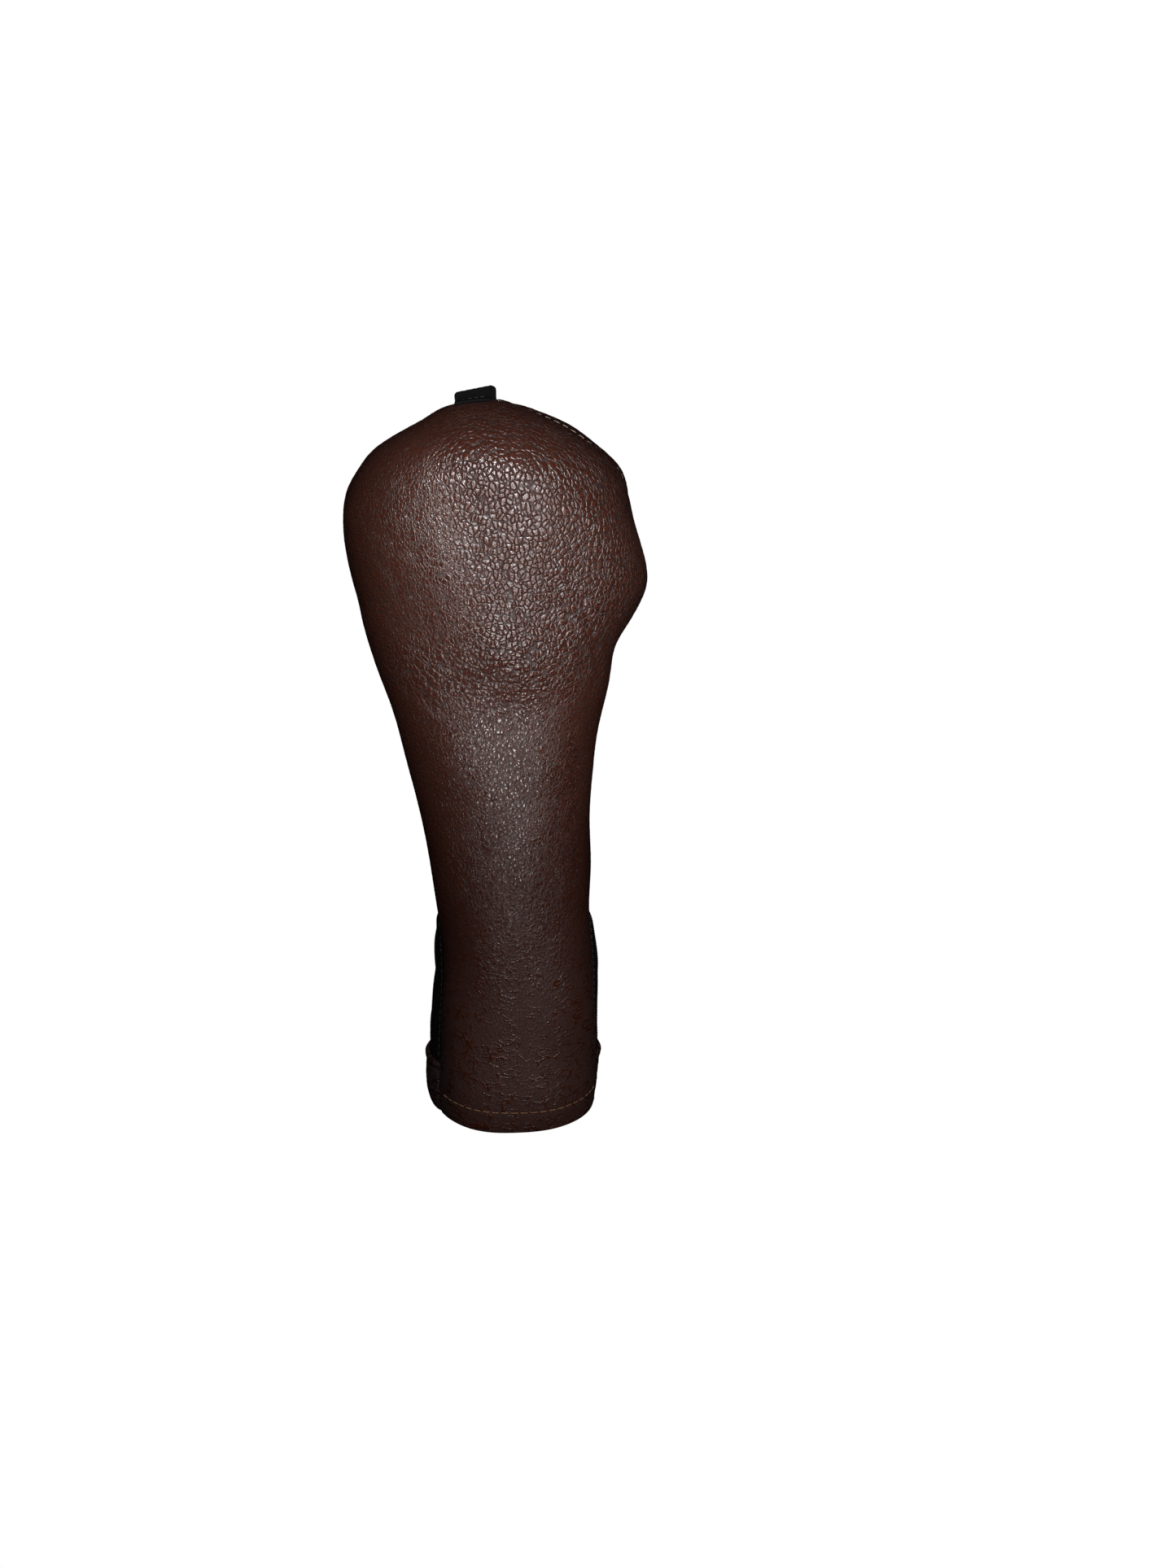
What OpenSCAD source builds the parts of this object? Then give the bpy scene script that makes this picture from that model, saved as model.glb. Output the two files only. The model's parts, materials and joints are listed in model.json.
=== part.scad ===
// Driver head cover: a sewn leather shell with a padded head, an elastic gusset
// behind the throat and a webbing pull tab on the crown.
// Millimetres. +Z is up, the front faces -Y, and the origin is the centre of the
// mouth on the plane that the hem stands on.

/* [Shell] */
// Height of the leather shell from hem to crown
cover_h = 340.4; // [325:0.2:355]
// Greatest width of the head
head_w = 138; // [130:1:146]
// Greatest depth of the head
head_d = 110; // [100:1:118]

/* [Layers] */
// Thickness of the outer leather
leather_t = 1.3; // [1.1:0.1:1.5]
// Thickness of the foam interlining in the head
foam_t = 3; // [2:0.5:3.5]
// Thickness of the fleece lining
fleece_t = 1.2; // [0.8:0.1:1.4]
// Clearance left between one layer and the next
layer_gap = 0.1; // [0.05:0.05:0.2]

/* [Throat] */
// Thickness of the elastic gusset
elastic_t = 1.4; // [1:0.1:1.8]
// Height of the leather cuff below the gusset
cuff_h = 24; // [20:1:28]
// Height of the turned-up facing inside the hem
facing_h = 18; // [14:1:18]
// Height of the stitch line above the hem
hem_stitch_h = 11.4; // [9:0.2:13]

/* [Pull tab] */
// Width of the webbing
tab_w = 19; // [16:0.5:20]
// Height of the tab's fold above the hinge line of its root
tab_h = 3.4; // [3:0.2:7]
// Thickness of the folded webbing
tab_t = 3.2; // [2.4:0.2:3.6]
// Lean of the tab across the crown, right end high
tab_lean = 8; // [5:0.5:9]

/* [Hidden] */

// Level sections of the shell at its nominal size, from the hem to the crown:
// height, reach to the left, right, front and back, squareness, and the angles by
// which the left and the right side seam lie behind the widest point.
SECTIONS = [
    [0, 40, 38.8, 42.5, 42.5, 2.2, -22, -14],
    [6, 40.6, 40.2, 43.8, 43.8, 2.2, -21, -12],
    [20, 39, 40.6, 44, 43.5, 2.3, -15, -8],
    [40, 36.2, 39.4, 42, 41, 2.3, -6, -2],
    [68, 35, 38.2, 39.5, 38.5, 2.3, 2, 2],
    [98, 37, 37, 37.5, 37.2, 2.2, 6, 5],
    [122, 40.2, 37.6, 37.2, 37.6, 2.2, 7, 4],
    [146, 43.6, 37, 38.2, 39.5, 2.25, 7, 5],
    [170, 48.8, 38.4, 40, 42.5, 2.3, 9, 8],
    [192, 54, 40.6, 42.5, 46, 2.4, 12, 12],
    [212, 59.8, 44.6, 45.5, 49.8, 2.5, 17, 17],
    [228, 64.4, 47.6, 48.5, 52.3, 2.5, 22, 22],
    [240, 68.2, 54.5, 50.5, 54, 2.5, 24, 24],
    [251, 70.9, 60.4, 52, 55, 2.5, 24, 24],
    [261, 73.2, 62.8, 53.2, 55.6, 2.5, 22, 22],
    [274, 74.9, 61, 54, 55.8, 2.5, 14, 13],
    [288, 75.1, 57.6, 54, 55, 2.5, 4.5, 3],
    [301, 73.1, 54.5, 52.6, 52, 2.4, -2.5, -4.5],
    [311, 68.2, 50, 50, 47.5, 2.3, -5, -12],
    [320, 60, 40.5, 46, 41.5, 2.2, -3, -17],
    [328, 44.5, 30, 38.5, 33, 2.1, -2.5, -20],
    [334, 35, 18, 28, 23, 2, -4, -22],
    [338.5, 26, 4.5, 14, 11, 2, -8, -24],
    [340.4, 8, 0, 0, 0, 2, 0, 0]
];
LEFT_SEAM = 6;
RIGHT_SEAM = 7;
// Level sections of the gusset and the cuff: height, reach to the left, right and
// back, and how far back they are widest.
THROAT = [
    [0, 42, 39.2, 42.5, 0],
    [6, 44.2, 40.8, 43.8, 1],
    [14, 45.2, 41.8, 44.5, 3],
    [24, 44.6, 42.4, 43.6, 8],
    [24.4, 42.6, 41.2, 42.2, 9],
    [36, 41.8, 40.9, 41.3, 11],
    [52, 40.8, 40.9, 40.3, 12],
    [68, 40.2, 40.9, 39.4, 12],
    [83, 39.2, 39.8, 38.4, 12],
    [92, 37.8, 38.2, 37.8, 10],
    [97.4, 36.8, 36.8, 37.2, 8]
];
CUFF_ROWS = [0, 1, 2, 3];
GUSSET_ROWS = [4, 5, 6, 7, 8, 9, 10];

x_scale = head_w / 138;
y_scale = head_d / 110;
z_scale = cover_h / 340.4;
top_row = len(SECTIONS) - 1;
gusset_top_row = 5;
padding_bottom_row = 8;
lining_bottom_row = 2;
columns = 18;
seam_gap_deg = 0.12;
throat_clearance = 0.7;
lead_columns = 5;
thread_r = 0.45;
thread_sides = 6;
thread_rise = 0.2;
topstitch_setback = 2.6;
edge_stitch_setback = 2.5;
facing_t = 1.2;
cuff_facing_margin = 3;
tab_x = -14.5;
tab_clearance = 0.35;
tab_ridge_z = 340 * z_scale;
tab_axis_z = tab_ridge_z + tab_clearance + tab_t / 2;

function sgn_pow(v, e) = sign(v) * pow(abs(v), e);

// A point of the shell's outer skin at row i and angle a: 0 is right, 90 back, 180 left, 270 front.
function skin(i, a) = let (
    s = SECTIONS[i],
    half_w = (s[1] + s[2]) / 2,
    mid_x = (s[2] - s[1]) / 2,
    reach = sin(a) < 0 ? s[3] : s[4]
) [
    x_scale * (mid_x + half_w * sgn_pow(cos(a), 2 / s[5])),
    y_scale * reach * sgn_pow(sin(a), 2 / s[5]),
    z_scale * s[0]
];

function unit(v) = v / norm(v);

function skin_normal(i, a) = i == top_row ? [0, 0, 1] : unit(cross(
    skin(i, a + 0.5) - skin(i, a - 0.5),
    skin(min(i + 1, top_row), a) - skin(max(i - 1, 0), a)
));

function skin_inset(i, a, depth) = skin(i, a) - depth * (i == 0 ? level(skin_normal(i, a)) : skin_normal(i, a));

function level(v) = unit([v[0], v[1], 0]);

// The angle of column j of a panel: the front one runs through 270, the rear one through 90.
function front_angle(i, j) = let (
    left = SECTIONS[i][LEFT_SEAM] - seam_gap_deg,
    right = SECTIONS[i][RIGHT_SEAM] - seam_gap_deg
) 180 - left + j * (180 + left + right) / columns;
function rear_angle(i, j) = let (
    left = SECTIONS[i][LEFT_SEAM] + seam_gap_deg,
    right = SECTIONS[i][RIGHT_SEAM] + seam_gap_deg
) right + j * (180 - left - right) / columns;

function padding_depth(i) = i < padding_bottom_row ? 0 : foam_t * min(1, (i - padding_bottom_row + 1) / 3);
function lining_depth(i) = leather_t + layer_gap
    + (i < padding_bottom_row ? 0 : padding_depth(i) + layer_gap);

// A closed sheet between two grids of points that have the same rows and columns.
module sheet(outer, inner) {
    rows = len(outer);
    cols = len(outer[0]);
    at = function (side, i, j) side * rows * cols + i * cols + j;
    points = concat([for (row = outer) each row], [for (row = inner) each row]);
    skins = [for (i = [0:rows - 2], j = [0:cols - 2]) each [
        [at(0, i, j), at(0, i + 1, j), at(0, i + 1, j + 1)],
        [at(0, i, j), at(0, i + 1, j + 1), at(0, i, j + 1)],
        [at(1, i, j), at(1, i + 1, j + 1), at(1, i + 1, j)],
        [at(1, i, j), at(1, i, j + 1), at(1, i + 1, j + 1)]
    ]];
    sides = [for (i = [0:rows - 2]) each [
        [at(0, i, 0), at(1, i, 0), at(1, i + 1, 0)],
        [at(0, i, 0), at(1, i + 1, 0), at(0, i + 1, 0)],
        [at(0, i, cols - 1), at(1, i + 1, cols - 1), at(1, i, cols - 1)],
        [at(0, i, cols - 1), at(0, i + 1, cols - 1), at(1, i + 1, cols - 1)]
    ]];
    ends = [for (j = [0:cols - 2]) each [
        [at(0, 0, j), at(1, 0, j + 1), at(1, 0, j)],
        [at(0, 0, j), at(0, 0, j + 1), at(1, 0, j + 1)],
        [at(0, rows - 1, j), at(1, rows - 1, j), at(1, rows - 1, j + 1)],
        [at(0, rows - 1, j), at(1, rows - 1, j + 1), at(0, rows - 1, j + 1)]
    ]];
    polyhedron(points, concat(skins, sides, ends));
}

// A round thread swept along points that lie on a surface.
module thread(path) {
    n = len(path);
    heading = function (k) unit(path[min(k + 1, n - 1)] - path[max(k - 1, 0)]);
    ring = function (k) let (
        t = heading(k),
        u = unit(cross(t, abs(t[2]) < 0.8 ? [0, 0, 1] : [0, 1, 0])),
        v = cross(t, u)
    ) [for (m = [0:thread_sides - 1]) path[k]
        + thread_r * (cos(m * 360 / thread_sides) * u + sin(m * 360 / thread_sides) * v)];
    points = [for (k = [0:n - 1]) each ring(k)];
    wall = [for (k = [0:n - 2], m = [0:thread_sides - 1]) let (
        a = k * thread_sides + m,
        b = k * thread_sides + (m + 1) % thread_sides
    ) each [[a, b, b + thread_sides], [a, b + thread_sides, a + thread_sides]]];
    first_cap = [for (m = [1:thread_sides - 2]) [0, m + 1, m]];
    last = (n - 1) * thread_sides;
    last_cap = [for (m = [1:thread_sides - 2]) [last, last + m, last + m + 1]];
    polyhedron(points, concat(wall, first_cap, last_cap));
}

module front_layer(rows, cols, outer_depth, inner_depth) {
    sheet(
        [for (i = rows) [for (j = cols) skin_inset(i, front_angle(i, j), outer_depth(i))]],
        [for (i = rows) [for (j = cols) skin_inset(i, front_angle(i, j), inner_depth(i))]]
    );
}

module rear_layer(rows, cols, outer_depth, inner_depth) {
    sheet(
        [for (i = rows) [for (j = cols) skin_inset(i, rear_angle(i, j), outer_depth(i))]],
        [for (i = rows) [for (j = cols) skin_inset(i, rear_angle(i, j), inner_depth(i))]]
    );
}

module front_panel() {
    color("#4a2a20") front_layer([0:top_row], [0:columns], function (i) 0, function (i) leather_t);
}

module rear_panel() {
    color("#45261c")
        rear_layer([gusset_top_row:top_row], [0:columns], function (i) 0, function (i) leather_t);
}

module front_padding() {
    color("#d8cfae") front_layer(
        [padding_bottom_row:top_row - 1], [1:columns - 1],
        function (i) leather_t + layer_gap,
        function (i) leather_t + layer_gap + padding_depth(i)
    );
}

module rear_padding() {
    color("#d8cfae") rear_layer(
        [padding_bottom_row:top_row - 1], [1:columns - 1],
        function (i) leather_t + layer_gap,
        function (i) leather_t + layer_gap + padding_depth(i)
    );
}

module front_lining() {
    color("#232021") front_layer(
        [lining_bottom_row:top_row], [0:columns],
        function (i) lining_depth(i),
        function (i) lining_depth(i) + fleece_t
    );
}

module rear_lining() {
    color("#232021") rear_layer(
        [gusset_top_row:top_row], [0:columns],
        function (i) lining_depth(i),
        function (i) lining_depth(i) + fleece_t
    );
}

// Where the front panel's edge lies at a height of the throat, on the right or the left.
function edge_of_row(i, right) =
    skin(i, right ? SECTIONS[i][RIGHT_SEAM] : 180 - SECTIONS[i][LEFT_SEAM]);
function panel_edge(z, right) = let (
    i = max([for (k = [0:gusset_top_row - 1]) if (SECTIONS[k][0] <= z) k]),
    share = (z - SECTIONS[i][0]) / (SECTIONS[i + 1][0] - SECTIONS[i][0])
) (1 - share) * edge_of_row(i, right) + share * edge_of_row(i + 1, right);

// A point of the throat's outer skin, inset by depth, at row i and angle a: 0 to 180 goes
// round the back, and a quarter turn more at either end curls in to the front panel's edge.
function throat_skin(i, a, depth) = let (
    s = THROAT[i],
    right = a < 90,
    edge = panel_edge(s[0], right),
    reach = x_scale * (right ? s[2] : s[1]) - depth,
    curl = right ? -a : a - 180,
    end_x = min(abs(edge[0]), reach),
    end_y = edge[1] + throat_clearance + depth,
    wide_y = y_scale * s[4],
    x = curl > 0 ? reach - (reach - end_x) * (1 - cos(curl)) : reach * abs(cos(a)),
    y = curl > 0
        ? wide_y - (wide_y - end_y) * sin(curl)
        : wide_y + (y_scale * s[3] - depth - wide_y) * sin(a)
) [right ? x : -x, y, z_scale * s[0]];

// Columns 0 to lead_columns curl away from the right edge, and the last ones in to the left.
function throat_angle(j) =
    j < lead_columns ? -90 * (1 - j / lead_columns)
    : j > columns + lead_columns ? 180 + 90 * (j - columns - lead_columns) / lead_columns
    : 180 * (j - lead_columns) / columns;
throat_columns = columns + 2 * lead_columns;

module throat_layer(rows, thickness) {
    sheet(
        [for (i = rows) [for (j = [0:throat_columns]) throat_skin(i, throat_angle(j), 0)]],
        [for (i = rows) [for (j = [0:throat_columns]) throat_skin(i, throat_angle(j), thickness)]]
    );
}

module elastic_gusset() {
    color("#0c0c0e") throat_layer(GUSSET_ROWS, elastic_t);
}

module rear_cuff() {
    color("#45261c") throat_layer(CUFF_ROWS, leather_t);
}

// The hem's turned-up facing is a plain upright strip that stands flat on z = 0.
module strip(outline) {
    n = len(outline) - 1;
    side = function (k) let (t = unit(outline[min(k + 1, n)] - outline[max(k - 1, 0)])) [-t[1], t[0]];
    inner = [for (k = [n:-1:0]) outline[k] + facing_t * side(k)];
    linear_extrude(facing_h) polygon(concat(outline, inner));
}

function flat(p) = [p[0], p[1]];

module hem_facing() {
    color("#3a2119")
        strip([for (j = [1:columns - 1]) flat(skin_inset(0, front_angle(0, j), leather_t + 2 * layer_gap))]);
}

module cuff_facing() {
    color("#3a2119")
        strip([for (j = [cuff_facing_margin:throat_columns - cuff_facing_margin])
            flat(throat_skin(0, throat_angle(j), leather_t + 2 * layer_gap))]);
}

function topstitch_angle(i, seam) = SECTIONS[i][seam] + seam_gap_deg
    + asin(min(0.6, topstitch_setback / SECTIONS[i][4]));

// Lifts a thread's first point clear of the edge that it starts from.
function start_lift(i, first) = i == first ? [0, 0, 1] : [0, 0, 0];

module topstitch_left() {
    color("#8f867c") thread([for (i = [gusset_top_row:top_row - 2])
        skin_inset(i, 180 - topstitch_angle(i, LEFT_SEAM), -thread_rise) + start_lift(i, gusset_top_row)]);
}

module topstitch_right() {
    color("#8f867c") thread([for (i = [gusset_top_row:top_row - 2])
        skin_inset(i, topstitch_angle(i, RIGHT_SEAM), -thread_rise) + start_lift(i, gusset_top_row)]);
}

// A point of the shell's skin at angle a, part of the way from row i to the next.
function between_rows(i, share, a) =
    (1 - share) * skin_inset(i, a, -thread_rise) + share * skin_inset(i + 1, a, -thread_rise);

module rear_panel_stitch() {
    share = edge_stitch_setback / (SECTIONS[gusset_top_row + 1][0] - SECTIONS[gusset_top_row][0]);
    color("#8a5a2e") thread([for (j = [2:columns - 2])
        between_rows(gusset_top_row, share, rear_angle(gusset_top_row, j))]);
}

module hem_stitch_front() {
    share = (hem_stitch_h - SECTIONS[1][0]) / (SECTIONS[2][0] - SECTIONS[1][0]);
    color("#8a5a2e") thread([for (j = [1:columns - 1]) between_rows(1, share, front_angle(1, j))]);
}

function between_throat_rows(i, share, a) =
    (1 - share) * throat_skin(i, a, -thread_rise) + share * throat_skin(i + 1, a, -thread_rise);

module hem_stitch_rear() {
    share = (hem_stitch_h - THROAT[1][0]) / (THROAT[2][0] - THROAT[1][0]);
    color("#8a5a2e") thread([for (j = [2:throat_columns - 2]) between_throat_rows(1, share, throat_angle(j))]);
}

module cuff_top_stitch() {
    share = (cuff_h - edge_stitch_setback - THROAT[2][0]) / (THROAT[3][0] - THROAT[2][0]);
    color("#8a5a2e") thread([for (j = [2:throat_columns - 2]) between_throat_rows(2, share, throat_angle(j))]);
}

gusset_first = GUSSET_ROWS[0];
gusset_last = GUSSET_ROWS[len(GUSSET_ROWS) - 1];
edge_stitch_curl = 35;

module gusset_edge_stitch(a) {
    color("#18181a") thread([for (i = [gusset_first:gusset_last - 1])
        throat_skin(i, a, -thread_rise) + start_lift(i, gusset_first)]);
}

module gusset_edge_stitch_left() {
    gusset_edge_stitch(180 + edge_stitch_curl);
}

module gusset_edge_stitch_right() {
    gusset_edge_stitch(-edge_stitch_curl);
}

// Carries the tab's own axes, x along its sewn root and z up, to its place on the crown.
module on_crown() {
    translate([tab_x * x_scale, 0, tab_axis_z]) rotate([0, -tab_lean, 0]) children();
}

// Webbing folded into a flat loop: a round root, two plies and a round fold.
module pull_tab() {
    slot_t = 0.4;
    color("#08080a") on_crown() rotate([90, 0, 90]) translate([0, 0, -tab_w / 2])
        linear_extrude(tab_w) difference() {
            union() {
                circle(d = tab_t, $fn = 32);
                translate([-tab_t / 2, 0]) square([tab_t, tab_h - tab_t / 2]);
                translate([0, tab_h - tab_t / 2]) circle(d = tab_t, $fn = 32);
            }
            translate([-slot_t / 2, 0]) square([slot_t, tab_h - tab_t / 2]);
        }
}

// Two rows of dashes across the front ply, just above the root.
module tab_stitch() {
    dash = 2.4;
    dash_r = 0.25;
    proud = 0.05;
    pitch = 3;
    dashes = floor((tab_w - 1) / pitch);
    color("#7d7f86") on_crown()
        for (row_z = [0.3, 1.4], k = [0:dashes - 1])
            translate([(k - (dashes - 1) / 2) * pitch - dash / 2, -tab_t / 2 - proud, row_z])
                rotate([0, 90, 0]) cylinder(r = dash_r, h = dash, $fn = 24);
}

front_panel();
rear_panel();
front_padding();
rear_padding();
front_lining();
rear_lining();
hem_facing();
topstitch_left();
topstitch_right();
rear_panel_stitch();
hem_stitch_front();
elastic_gusset();
rear_cuff();
cuff_facing();
cuff_top_stitch();
hem_stitch_rear();
gusset_edge_stitch_left();
gusset_edge_stitch_right();
pull_tab();
tab_stitch();
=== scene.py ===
import json
import math

import bpy
import numpy as np
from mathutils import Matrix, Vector, kdtree


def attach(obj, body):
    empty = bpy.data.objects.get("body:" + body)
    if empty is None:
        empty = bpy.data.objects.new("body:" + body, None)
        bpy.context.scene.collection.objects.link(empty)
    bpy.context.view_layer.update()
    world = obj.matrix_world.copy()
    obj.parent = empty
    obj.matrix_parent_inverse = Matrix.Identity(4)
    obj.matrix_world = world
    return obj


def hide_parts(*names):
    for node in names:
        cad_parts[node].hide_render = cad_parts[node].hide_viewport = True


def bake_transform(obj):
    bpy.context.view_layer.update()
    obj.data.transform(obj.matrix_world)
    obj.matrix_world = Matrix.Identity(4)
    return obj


# The looks of a driver head cover: two pebbled leather panels sewn round the head, a leather
# cuff and an elastic gusset behind the throat, fleece and foam inside, and a webbing tab.
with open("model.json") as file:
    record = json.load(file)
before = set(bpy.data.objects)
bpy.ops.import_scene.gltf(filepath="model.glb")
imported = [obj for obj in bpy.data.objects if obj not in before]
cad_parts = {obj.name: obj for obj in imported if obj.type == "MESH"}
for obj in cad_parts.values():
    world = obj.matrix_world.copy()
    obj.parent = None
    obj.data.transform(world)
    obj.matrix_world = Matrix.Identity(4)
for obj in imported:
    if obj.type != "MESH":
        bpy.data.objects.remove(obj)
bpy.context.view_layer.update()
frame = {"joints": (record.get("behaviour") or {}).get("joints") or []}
MM = 0.001

# ---- the shape, as the part's source has it

# Height, reach to the left, right, front and back in millimetres, squareness, and the angles
# by which the left and the right seam lie behind the widest point, from the hem to the crown.
SECTIONS = np.array([
    [0, 40, 38.8, 42.5, 42.5, 2.2, -22, -14],
    [6, 40.6, 40.2, 43.8, 43.8, 2.2, -21, -12],
    [20, 39, 40.6, 44, 43.5, 2.3, -15, -8],
    [40, 36.2, 39.4, 42, 41, 2.3, -6, -2],
    [68, 35, 38.2, 39.5, 38.5, 2.3, 2, 2],
    [98, 37, 37, 37.5, 37.2, 2.2, 6, 5],
    [122, 40.2, 37.6, 37.2, 37.6, 2.2, 7, 4],
    [146, 43.6, 37, 38.2, 39.5, 2.25, 7, 5],
    [170, 48.8, 38.4, 40, 42.5, 2.3, 9, 8],
    [192, 54, 40.6, 42.5, 46, 2.4, 12, 12],
    [212, 59.8, 44.6, 45.5, 49.8, 2.5, 17, 17],
    [228, 64.4, 47.6, 48.5, 52.3, 2.5, 22, 22],
    [240, 68.2, 54.5, 50.5, 54, 2.5, 24, 24],
    [251, 70.9, 60.4, 52, 55, 2.5, 24, 24],
    [261, 73.2, 62.8, 53.2, 55.6, 2.5, 22, 22],
    [274, 74.9, 61, 54, 55.8, 2.5, 14, 13],
    [288, 75.1, 57.6, 54, 55, 2.5, 4.5, 3],
    [301, 73.1, 54.5, 52.6, 52, 2.4, -2.5, -4.5],
    [311, 68.2, 50, 50, 47.5, 2.3, -5, -12],
    [320, 60, 40.5, 46, 41.5, 2.2, -3, -17],
    [328, 44.5, 30, 38.5, 33, 2.1, -2.5, -20],
    [334, 35, 18, 28, 23, 2, -4, -22],
    [338.5, 26, 4.5, 14, 11, 2, -8, -24],
    [340.4, 8, 0, 0, 0, 2, 0, 0],
], float)
# Height, reach to the left, right and back, and how far back the cuff and the gusset are widest.
CUFF = np.array([
    [0, 42, 39.2, 42.5, 0],
    [6, 44.2, 40.8, 43.8, 1],
    [14, 45.2, 41.8, 44.5, 3],
    [24, 44.6, 42.4, 43.6, 8],
], float)
GUSSET = np.array([
    [20.5, 42.9, 41.1, 42.2, 8],
    [36, 41.8, 40.9, 41.3, 11],
    [52, 40.8, 40.9, 40.3, 12],
    [68, 40.2, 40.9, 39.4, 12],
    [83, 39.2, 39.8, 38.4, 12],
    [92, 37.8, 38.2, 37.8, 10],
    [99.8, 35.6, 35.4, 35.6, 8],
], float)
# The rows of SECTIONS where the gusset ends, the foam starts and the crown's seam lies.
GUSSET_TOP_ROW, PADDING_ROW, CROWN_ROW = 5, 8, len(SECTIONS) - 1
# How thick each layer is, and the gap between layers.
LEATHER, GAP, FOAM, FLEECE, ELASTIC = 1.3, 0.1, 3.0, 1.2, 1.4
HEM_STITCH_Z, FACING_Z = 11.4, 18.0
TOPSTITCH_SETBACK = 2.6
# The radii over which the head's seam, the throat's edges and the hem turn under.
SEAM_ROLL, EDGE_ROLL, HEM_ROLL = 1.5, 1.9, 1.1
# How far the head's seam pulls the leather in, over what width, and where that sets in.
SEAM_PULL, PULL_WIDTH, PULL_FROM, PULL_FULL = 1.2, 3.6, 150, 260
# Between these heights the throat's edges give way to the seam, and the crown turns level.
THROAT_FROM, THROAT_TO, CROWN_FROM, CROWN_TO = 90, 106, 339.2, 340.3
# How far the gusset's and the cuff's sides reach in behind the front panel's edge, and back.
TUCK_IN, TUCK_BACK = 2.8, -0.2


def spline(table, at):
    """The rows of table read at fractional row numbers, along a natural cubic."""
    n = len(table)
    system = np.eye(n) * 4
    system[0, 0] = system[-1, -1] = 1
    for i in range(1, n - 1):
        system[i, i - 1] = system[i, i + 1] = 1
    bends = np.zeros_like(table)
    bends[1:-1] = 6 * (table[:-2] - 2 * table[1:-1] + table[2:])
    second = np.linalg.solve(system, bends)
    i = np.clip(np.floor(at).astype(int), 0, n - 2)
    b = (at - i)[:, None]
    a = 1 - b
    curve = (a**3 - a) * second[i] + (b**3 - b) * second[i + 1]
    return a * table[i] + b * table[i + 1] + curve / 6


def smoothstep(low, high, x):
    t = np.clip((x - low) / (high - low), 0, 1)
    return t * t * (3 - 2 * t)


def signed_power(v, exponent):
    return np.sign(v) * np.abs(v) ** exponent


def skin(rows, degrees):
    """Points of the shell's outer skin: rows of section values (n, 8), angles (n, m)."""
    turn = np.radians(degrees)
    column = rows[:, :, None]
    half_width = (column[:, 1] + column[:, 2]) / 2
    middle = (column[:, 2] - column[:, 1]) / 2
    reach = np.where(np.sin(turn) < 0, column[:, 3], column[:, 4])
    power = 2 / column[:, 5]
    x = middle + half_width * signed_power(np.cos(turn), power)
    y = reach * signed_power(np.sin(turn), power)
    z = np.broadcast_to(column[:, 0], x.shape)
    return np.stack([x, y, z], -1)


def seam_points(rows, right):
    """Where the front panel's edge lies on each row."""
    degrees = rows[:, 7:8] if right else 180 - rows[:, 6:7]
    return skin(rows, degrees)[:, 0]


DENSE_ROWS = spline(SECTIONS, np.linspace(0, CROWN_ROW, 1200))
EDGE_OF = {right: seam_points(DENSE_ROWS, right) for right in (False, True)}


def throat_skin(rows, turns):
    """Points round the cuff or the gusset: 0 to 180 goes round the back, and a quarter turn more
    at either end curls in behind the front panel's rolled edge."""
    points = np.zeros(turns.shape + (3,))
    for right in (False, True):
        edge = EDGE_OF[right]
        z = rows[:, 0]
        edge_x = np.abs(np.interp(z, edge[:, 2], edge[:, 0]))[:, None] - TUCK_IN
        edge_y = np.interp(z, edge[:, 2], edge[:, 1])[:, None] + TUCK_BACK
        reach = rows[:, 2 if right else 1][:, None]
        back, wide_y = rows[:, 3:4], rows[:, 4:5]
        curl = np.radians(-turns if right else turns - 180)
        end_x = np.minimum(edge_x, reach)
        turn = np.radians(turns)
        curled = curl > 0
        x = np.where(curled, reach - (reach - end_x) * (1 - np.cos(curl)), reach * np.abs(np.cos(turn)))
        y = np.where(curled, wide_y - (wide_y - edge_y) * np.sin(curl),
                     wide_y + (back - wide_y) * np.sin(turn))
        side = (turns < 90) == right
        points[side] = np.stack([x if right else -x, y, np.broadcast_to(z[:, None], x.shape)], -1)[side]
    return points


# ---- grids on the shape

# Distances of the grid lines nearest an edge; one of them carries the topstitching.
EDGE_STEPS = np.array([0, 0.25, 0.6, 1.05, 1.55, 2.1, TOPSTITCH_SETBACK, 3.2])
STITCH_LINE = int(np.argmax(EDGE_STEPS == TOPSTITCH_SETBACK))


def spaced(length, count):
    """count + 1 places along each length, closer together near both ends."""
    length = np.atleast_1d(length)[:, None]
    inner = count - 2 * len(EDGE_STEPS) + 2
    share = np.linspace(0, 1, inner + 1)[None, 1:-1]
    last = EDGE_STEPS[-1]
    middle = last + (length - 2 * last) * share
    steps = np.broadcast_to(EDGE_STEPS, (len(length), len(EDGE_STEPS)))
    return np.concatenate([steps, middle, length - steps[:, ::-1]], 1)


def along(points):
    """Distance run along each row of points."""
    step = np.linalg.norm(np.diff(points, axis=-2), axis=-1)
    return np.concatenate([np.zeros(step.shape[:-1] + (1,)), np.cumsum(step, -1)], -1)


def respace(dense, count):
    """Each dense row of points, read at evenly spaced places along it."""
    run = along(dense)
    places = spaced(run[:, -1], count)
    rows = [[np.interp(p, r, d[:, k]) for k in range(3)] for p, r, d in zip(places, run, dense)]
    return np.array(rows).transpose(0, 2, 1)


def normals_of(points):
    """Outward unit normals of a grid whose columns run counter-clockwise and rows upwards."""
    normal = np.cross(np.gradient(points, axis=1), np.gradient(points, axis=0))
    return normal / np.maximum(np.linalg.norm(normal, axis=-1, keepdims=True), 1e-9)


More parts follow.
